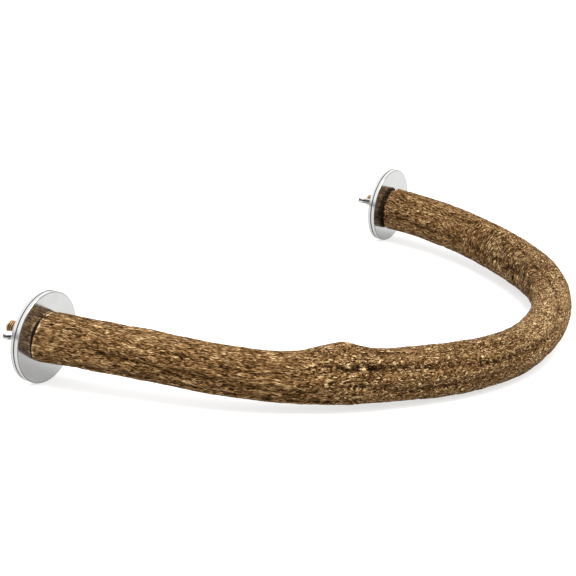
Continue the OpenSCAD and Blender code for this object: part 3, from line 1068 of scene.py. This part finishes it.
@dataclass
class Clamp:
    """One end's hardware: a hanger bolt, two wide washers and a wing nut."""

    side: Side
    stand_out: float
    nut_turn: float
    bolt_spacing: float = 309.0
    bolt_r: float = 3.0
    bolt_len: float = 40.0
    machine_len: float = 20.0
    neck_len: float = 3.0
    machine_pitch: float = 1.0
    wood_pitch: float = 2.4
    wood_thread_h: float = 0.9
    depth_share: float = 0.54
    dome_h: float = 1.1
    dome_tip_r: float = 1.85
    washer_d: float = 40.0
    washer_t: float = 2.0
    edge_r: float = 0.36
    bore_edge_r: float = 0.15
    washer_play: float = 0.25
    face_gap: float = 0.01
    hub_d: float = 12.0
    hub_top_d: float = 10.0
    hub_h: float = 7.2
    hub_foot_h: float = 1.2
    hub_sides: int = 96
    wing_span: float = 24.2
    wing_h: float = 12.0
    wing_t: float = 3.0
    wing_tip_r: float = 2.7
    wing_edge_r: float = 0.8
    wing_points: int = 120
    cast_step: float = 0.26
    parting_y: float = -0.3
    parting_w: float = 0.62
    parting_deep: float = 0.3
    nut_play: float = 0.05
    countersink: float = 0.5
    cut_y: float = -2.0
    turn_steps: int = 288
    thread_sides: int = 64
    rows_per_pitch: int = 14

    @property
    def x(self) -> float:
        """Where the bolt's axis stands."""
        return self.side.value * self.bolt_spacing / 2

    @property
    def wing_tip(self) -> Array:
        """The middle of the wing's round tip, in the nut's own X and Z."""
        return np.array([self.wing_span / 2 - self.wing_tip_r, self.wing_h - self.wing_tip_r])

    def washer_outline(self) -> Array:
        """The washer's section: a flat ring with round outer edges and eased bore edges.

        Returns:
            Radius and place along Y, counter-clockwise.
        """
        bore, rim = self.bolt_r + self.washer_play, self.washer_d / 2
        thick, edge, ease = self.washer_t, self.edge_r, self.bore_edge_r
        flat = np.linspace([bore + 0.8, 0.0], [rim - edge - 0.3, 0.0], 8)
        return np.concatenate(
            [
                arc((bore + ease, ease), ease, 180, 270, 4),
                flat,
                arc((rim - edge, edge), edge, -90, 0, 9),
                arc((rim - edge, thick - edge), edge, 0, 90, 9),
                flat[::-1] + [0.0, thick],
                arc((bore + ease, thick - ease), ease, 90, 180, 4),
            ]
        )

    def washer_painted_shade(self, outline: Array, inner: bool) -> Array:
        """How much painted shade each point of the section takes: the rim's part of the seam between the
        washers, and the rounded edges a little.

        Args:
            outline: The washer's section, radius and place along Y.
            inner: True for the washer on the branch's side.

        Returns:
            One share from 0 to 1 for each point.
        """
        radius, place = outline.T
        far = self.washer_t - place if inner else place
        inset = self.washer_d / 2 - radius
        # Painted shade in the seam where the two washers meet.
        seam = (1 - smooth(far, self.edge_r * 0.55, self.edge_r * 1.1)) * (1 - smooth(inset, 0.36, 0.9))
        # A painted dark line on the rounded edges, standing for their dark reflection.
        corner = smooth(inset, 0.02, 0.12) * (1 - smooth(inset, self.edge_r - 0.08, self.edge_r + 0.05))
        return np.clip(seam + 0.8 * corner, 0.0, 1.0)

    def make_washer(self, layer: str, y: float) -> Piece:
        """Turns one washer and puts it on its own body.

        The inner washer is thinner by the gap between the two faces that meet.

        Args:
            layer: Inner or outer.
            y: Where its lower face lies.

        Returns:
            The finished washer.
        """
        node = f"{self.side.label}_{layer}_washer"
        outline = self.washer_outline()
        # Painted shade in the seam and a painted dark reflection on the edges.
        painted_shade = self.washer_painted_shade(outline, layer == "inner")
        if layer == "inner":
            outline[:, 1] *= 1 - self.face_gap / self.washer_t
        rings = spun(outline[:, :1], outline[:, 1:], self.turn_steps) + [self.x, y, 0.0]
        faces = tube_faces(len(rings) + 1, self.turn_steps) % (len(rings) * self.turn_steps)
        piece = new_piece(f"{node}_plate", rings, faces.tolist())
        keep_values(piece, "painted_shade", np.repeat(painted_shade, self.turn_steps))
        return self.hand_over(piece, Plate.CHROME, node, node)

    def bolt_radius(self, z: Array, turn: Array) -> Array:
        """The bolt's radius over its length and round it, with true screw threads.

        The machine thread's depth follows a cut-off triangle wave of z / pitch - turn / full turn. The
        wood thread is a narrow ridge of the same kind, which tapers to the point.

        Args:
            z: Height over the bolt's point, as a column.
            turn: Share of a full turn, as a row.

        Returns:
            The radius over the grid.
        """
        wood_len = self.bolt_len - self.machine_len - self.neck_len
        thread_start = wood_len + self.neck_len
        wave = np.abs((z / self.machine_pitch - turn) % 1.0 - 0.5)
        cut = np.clip(wave * 2.9 - 0.16, 0.0, 1.0)
        run_out = smooth(z, thread_start - 0.2, thread_start + 1.2)
        depth = self.depth_share * self.machine_pitch
        machine = (self.bolt_r - depth / 2) * (1 - run_out) + (self.bolt_r - depth * cut) * run_out
        ridge = np.clip(1.0 - 5.0 * np.abs((z / self.wood_pitch - turn) % 1.0 - 0.5), 0.0, 1.0)
        point = np.clip(0.12 + z / (self.wood_pitch * 1.4), 0.0, 1.0)
        wood = (self.bolt_r - self.wood_thread_h + self.wood_thread_h * ridge) * point - 0.02
        end = smooth(z, wood_len - 0.8, wood_len + 0.2)
        rise = 1 - np.clip((self.bolt_len - z) / self.dome_h, 0, 1)
        dome = self.dome_tip_r + 1.12 * np.sqrt(1 - rise**2)
        return np.minimum(wood * (1 - end) + machine * end, dome) - 0.004

    def make_bolt(self) -> Piece:
        """Builds the hanger bolt as one closed grid from its point to its rounded free end.

        Returns:
            The finished bolt.
        """
        start, stop = self.bolt_len - self.machine_len - 1.0, self.bolt_len - self.dome_h - 0.05
        fine = np.arange(start, stop, self.machine_pitch / self.rows_per_pitch)
        tip = self.bolt_len - self.dome_h * (1 - np.sin(np.linspace(0.05, math.pi / 2, 12)))
        z = np.concatenate([np.arange(0.0, start, 0.2), fine, tip])[:, None]
        radius = self.bolt_radius(z, np.arange(self.thread_sides) / self.thread_sides)
        point = [self.x, self.cut_y + self.stand_out - self.bolt_len, 0.0]
        grid = spun(radius, z, self.thread_sides) + point
        poles = [[self.x, grid[end, 0, 1], 0.0] for end in (0, -1)]
        name = f"{self.side.label}_hanger_bolt"
        piece = capped_tube(f"{name}_zinc", grid, poles)
        # Painted shade: the thread roots are darkened, but not on the rounded end.
        painted_shade_share = smooth(self.bolt_r - radius, 0.08, 0.34)
        painted_shade_share = painted_shade_share * (1 - smooth(z, self.bolt_len - 1.0, self.bolt_len - 0.6))
        keep_values(piece, "painted_shade", np.append(painted_shade_share.ravel(), [0.0, 0.0]))
        return self.hand_over(piece, Plate.ZINC, name, "perch")

    def wing_outline(self) -> Array:
        """The wing's own outline, the same as the solid's: hub, lower edge, round tip, upper edge.

        Returns:
            Local X and Z of each point, counter-clockwise, evenly spread.
        """
        tip = self.wing_tip
        foot = np.array([self.hub_d / 2 - 0.6, self.hub_foot_h])
        shoulder = np.array([self.hub_top_d / 2 - 0.6, self.hub_h - 0.3])
        start = math.degrees(math.atan2(foot[0] - tip[0], tip[1] - foot[1]))
        end = math.degrees(math.atan2(tip[0] - shoulder[0], shoulder[1] - tip[1])) % 360.0
        root = [[self.bolt_r + 1.0, self.hub_h - 0.8], [self.bolt_r + 1.0, self.hub_foot_h]]
        bend = arc(tip, self.wing_tip_r, start, end, 33)
        corners = np.concatenate([[foot], bend, [shoulder], root, [foot]])
        along = run_along(corners)
        even = np.linspace(0.0, along[-1], self.wing_points + 1)[:-1]
        return np.stack([np.interp(even, along, column) for column in corners.T], axis=1)

    def wing_rings(self, way: int) -> Array:
        """One wing of the nut as a slab with rounded edges.

        The outline is stacked through the wing's thickness. Near both faces each layer is drawn in
        along the outline's normal by the edge's radius times (1 - cos), while it rises by the radius
        times sin.

        Args:
            way: -1 or 1, the side of the hub.

        Returns:
            The places over layers and outline points.
        """
        line = self.wing_outline()
        ahead = unit(np.roll(line, -1, axis=0) - np.roll(line, 1, axis=0))
        inward = np.stack([-ahead[:, 1], ahead[:, 0]], axis=1)
        turn = np.linspace(math.pi / 2, 0.0, 7)
        drop = self.wing_edge_r * (1 - np.cos(turn))
        lift = self.wing_t / 2 - self.wing_edge_r * (1 - np.sin(turn))
        level = np.concatenate([-lift, lift[::-1]])[:, None]
        points = line[None] + inward[None] * np.concatenate([drop, drop[::-1]])[:, None, None]
        return np.stack(np.broadcast_arrays(way * points[..., 0], level, points[..., 1]), axis=-1)

    def turned(self, name: str, outline: Array) -> Piece:
        """Turns an outline of radius and height round the nut's own Z axis."""
        rings = spun(outline[:, :1], outline[:, 1:], self.hub_sides)
        return closed_solid(name, rings[..., [0, 2, 1]])

    def make_nut(self) -> Piece:
        """Casts the wing nut: hub and wings are joined, softened into one skin, and bored.

        Returns:
            The finished wing nut.
        """
        name = f"{self.side.label}_wing_nut"
        foot, top, high = self.hub_d / 2, self.hub_top_d / 2, self.hub_h
        hub = [
            [[0.4, 0.0]],
            np.linspace([1.2, 0.0], [foot - 0.5, 0.0], 6),
            arc((foot - 0.35, 0.35), 0.35, -90, 0, 5),
            [[foot, self.hub_foot_h]],
            np.linspace([foot - 0.12, self.hub_foot_h + 0.5], [top, high - 0.6], 8),
            arc((top - 0.6, high - 0.6), 0.6, 10, 90, 6),
            [[1.2, high], [0.4, high]],
        ]
        play, sink = self.bolt_r + self.nut_play, self.countersink
        wide = play + sink + 1.0
        bore = np.array([[wide, -1.0], [play, sink], [play, high - sink], [wide, high + 1.0]])
        body = self.turned(f"{name}_cast", np.concatenate(hub))
        for way in (-1, 1):
            self.combine(body, "UNION", closed_solid(f"{name}_wing", self.wing_rings(way)))
        self.apply(body, "REMESH", mode="VOXEL", voxel_size=self.cast_step * MM)
        self.apply(body, "SMOOTH", factor=0.5, iterations=5)
        self.combine(body, "DIFFERENCE", self.turned("nut_drill", bore))
        self.settle(body)
        return self.hand_over(body, Plate.CAST, name, name)

    def combine(self, piece: Piece, operation: str, tool: Piece) -> None:
        """Adds another solid to a piece or cuts it out, and removes that solid."""
        self.apply(piece, "BOOLEAN", operation=operation, object=tool, solver="EXACT")
        bpy.data.objects.remove(tool)

    def apply(self, piece: Piece, kind: str, **settings: object) -> None:
        """Adds a modifier and bakes its result into the mesh.

        Args:
            piece: The object that is changed.
            kind: Blender's name for the modifier.
            **settings: The modifier's properties.
        """
        modifier = piece.modifiers.new("step", kind)
        for key, value in settings.items():
            setattr(modifier, key, value)
        bpy.context.view_layer.update()
        graph = bpy.context.evaluated_depsgraph_get()
        made = bpy.data.meshes.new_from_object(piece.evaluated_get(graph))
        piece.modifiers.clear()
        piece.data = made

    def settle(self, piece: Piece) -> None:
        """Turns the nut from its own axes to the bolt's, and keeps it within the solid's height.

        The casting's parting line is a shallow groove round each wing's edge, with painted shade in it: a
        dark line that stands for the shade and dark reflection along that edge. It is a bell of the place
        through the wing's thickness, and points move towards the wing's middle.
        Local X goes to X, local Z to Y, local Y to -Z, and then all is turned about Y.

        Args:
            piece: The casting, which is changed.
        """
        local = vertex_places(piece)
        local[:, 2] = np.clip(local[:, 2], 0.0, self.wing_h)
        hub_r = self.hub_top_d / 2
        groove = bell(local[:, 1] - self.parting_y, self.parting_w)
        groove = groove * smooth(np.abs(local[:, 0]), hub_r + 0.3, hub_r + 1.3)
        ways = np.stack([np.sign(local[:, 0]), np.ones(len(local))], axis=1)
        inward = self.wing_tip * ways - local[:, 0::2]
        inward /= np.maximum(np.linalg.norm(inward, axis=1), 0.1)[:, None]
        local[:, 0::2] += self.parting_deep * groove[:, None] * inward
        # Painted shade: the groove is painted as a dark line.
        keep_values(piece, "painted_shade", np.clip(1.8 * groove**2, 0.0, 1.0))
        cos, sin = math.cos(math.radians(self.nut_turn)), math.sin(math.radians(self.nut_turn))
        across = cos * local[:, 0] - sin * local[:, 1]
        down = sin * local[:, 0] + cos * local[:, 1]
        placed = np.stack([self.x + across, self.washer_t + local[:, 2], -down], axis=1) * MM
        piece.data.vertices.foreach_set("co", placed.astype(np.float32).ravel())
        piece.data.polygons.foreach_set("use_smooth", np.ones(len(piece.data.polygons), dtype=bool))
        piece.data.update()

    def hand_over(self, piece: Piece, plate: Plate, node: str, body: str) -> Piece:
        """Dresses a piece in its finish, gives it its body and hides the solid that it stands for.

        Args:
            piece: The new piece.
            plate: Its finish.
            node: The solid that it stands for.
            body: The body that carries it.

        Returns:
            The same piece.
        """
        finish = PLATES[plate]
        piece.data.materials.clear()
        piece.data.materials.append(bpy.data.materials.get(finish.name) or finish.make())
        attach(piece, body)
        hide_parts(node)
        LOG.info("%s: %d faces", piece.name, len(piece.data.polygons))
        return piece

    def make(self) -> list[Piece]:
        """Builds all four pieces of the clamp."""
        pieces = [self.make_bolt(), self.make_washer("inner", self.cut_y), self.make_washer("outer", 0.0)]
        return [*pieces, self.make_nut()]


# The studio


@dataclass
class Studio:
    """Floor, light and camera. The camera's place and axes are where the photograph was taken."""

    spot: Triple = (-740.28, -448.78, 261.45)
    right: Triple = (0.514831, -0.853289, 0.082748)
    up: Triple = (0.217881, 0.223586, 0.950020)
    back: Triple = (-0.829142, -0.471070, 0.301024)
    lens: float = 114.97
    sensor: float = 36.0
    clip: Pair = (0.01, 100.0)
    rest_y: float = 0.0
    rest_z: float = -20.0
    floor_play: float = 0.02
    floor_half: float = 6000.0
    clear_of_washers: float = -40.0
    sky: float = 2.15
    horizon: float = 0.35
    horizon_rise: Pair = (0.06, 0.34)
    key_power: float = 31.0
    key_size: float = 1.0
    key_spot: Triple = (-0.32, -0.35, 1.45)
    finish: FloorFinish = field(default_factory=FloorFinish)

    def floor_slope(self, branch: Piece) -> float:
        """How steeply the table rises towards the bend, seen from the perch's own frame.

        The table touches both washers' lowest rims and the underside of the branch, so its slope is
        the least of (height over the rims) / (distance from the washers) over the branch.

        Args:
            branch: The dressed branch.

        Returns:
            The slope, a rise for each unit along -Y.
        """
        spots = vertex_places(branch)
        far = spots[spots[:, 1] < self.clear_of_washers]
        return float(((far[:, 2] - self.rest_z) / (self.rest_y - far[:, 1])).min())

    def make_floor(self, branch: Piece) -> Piece:
        """Lays the white table under the perch as one large plane.

        Args:
            branch: The dressed branch.

        Returns:
            The table.
        """
        slope = self.floor_slope(branch)
        corner = self.floor_half * np.array([[-1, -1], [1, -1], [1, 1], [-1, 1]])
        height = self.rest_z - self.floor_play - slope * (corner[:, 1:] - self.rest_y)
        floor = new_piece("studio_floor", np.concatenate([corner, height], axis=1), [[0, 1, 2, 3]])
        floor.data.materials.append(self.finish.make())
        LOG.info("floor slope %.4f", slope)
        return floor

    def make_light(self) -> None:
        """Adds a white sky that is dimmer near the horizon, and one wide soft light above.

        The background itself stays plain white, because the horizon's dimming lights the perch and
        is not seen directly.
        """
        world = bpy.data.worlds.new("studio_sky")
        world.use_nodes = True
        graph = NodeGraph(world.node_tree)
        heading = graph.add("TexCoord", {}).outputs["Generated"]
        rise = graph.add("SeparateXYZ", {0: heading}).outputs["Z"]
        seen = graph.add("LightPath", {}).outputs["Is Camera Ray"]
        sky = world.node_tree.nodes["Background"]
        graph.feed(sky.inputs["Strength"], self.sky)
        dimmed = graph.ranged(rise, *self.horizon_rise, self.horizon, 1.0)
        graph.feed(sky.inputs["Color"], graph.math("MAXIMUM", seen, dimmed))
        bpy.context.scene.world = world
        lamp = bpy.data.lights.new("soft_box", "AREA")
        lamp.shape = "RECTANGLE"
        lamp.size = self.key_size
        lamp.size_y = self.key_size
        lamp.energy = self.key_power
        holder = bpy.data.objects.new("soft_box", lamp)
        bpy.context.scene.collection.objects.link(holder)
        holder.location = self.key_spot
        holder.rotation_euler = holder.location.to_track_quat("Z", "Y").to_euler()

    def make_camera(self) -> None:
        """Places the camera where the photograph was taken, and makes it the scene's own."""
        data = bpy.data.cameras.new("studio_camera")
        data.sensor_width = self.sensor
        data.lens = self.lens
        data.clip_start, data.clip_end = self.clip
        camera = bpy.data.objects.new("studio_camera", data)
        bpy.context.scene.collection.objects.link(camera)
        place = np.eye(4)
        place[:3] = np.stack([self.right, self.up, self.back, np.array(self.spot) * MM], axis=1)
        camera.matrix_world = Matrix(place.tolist())
        bpy.context.scene.camera = camera

    def make(self, branch: Piece) -> None:
        """Sets up the whole studio round the perch.

        Args:
            branch: The dressed branch.
        """
        self.make_camera()
        self.make_floor(branch)
        self.make_light()
        view = bpy.context.scene.view_settings
        view.view_transform = "Standard"
        view.look = "None"


def main() -> None:
    """Builds every piece in order."""
    logging.basicConfig(level=logging.INFO, format="%(name)s: %(message)s")
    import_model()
    branch = Branch().make()
    Clamp(Side.LEFT, stand_out=20.6, nut_turn=0.0).make()
    Clamp(Side.RIGHT, stand_out=15.4, nut_turn=10.0).make()
    Studio().make(branch)
    bpy.context.view_layer.update()


if __name__ == "__main__":
    main()
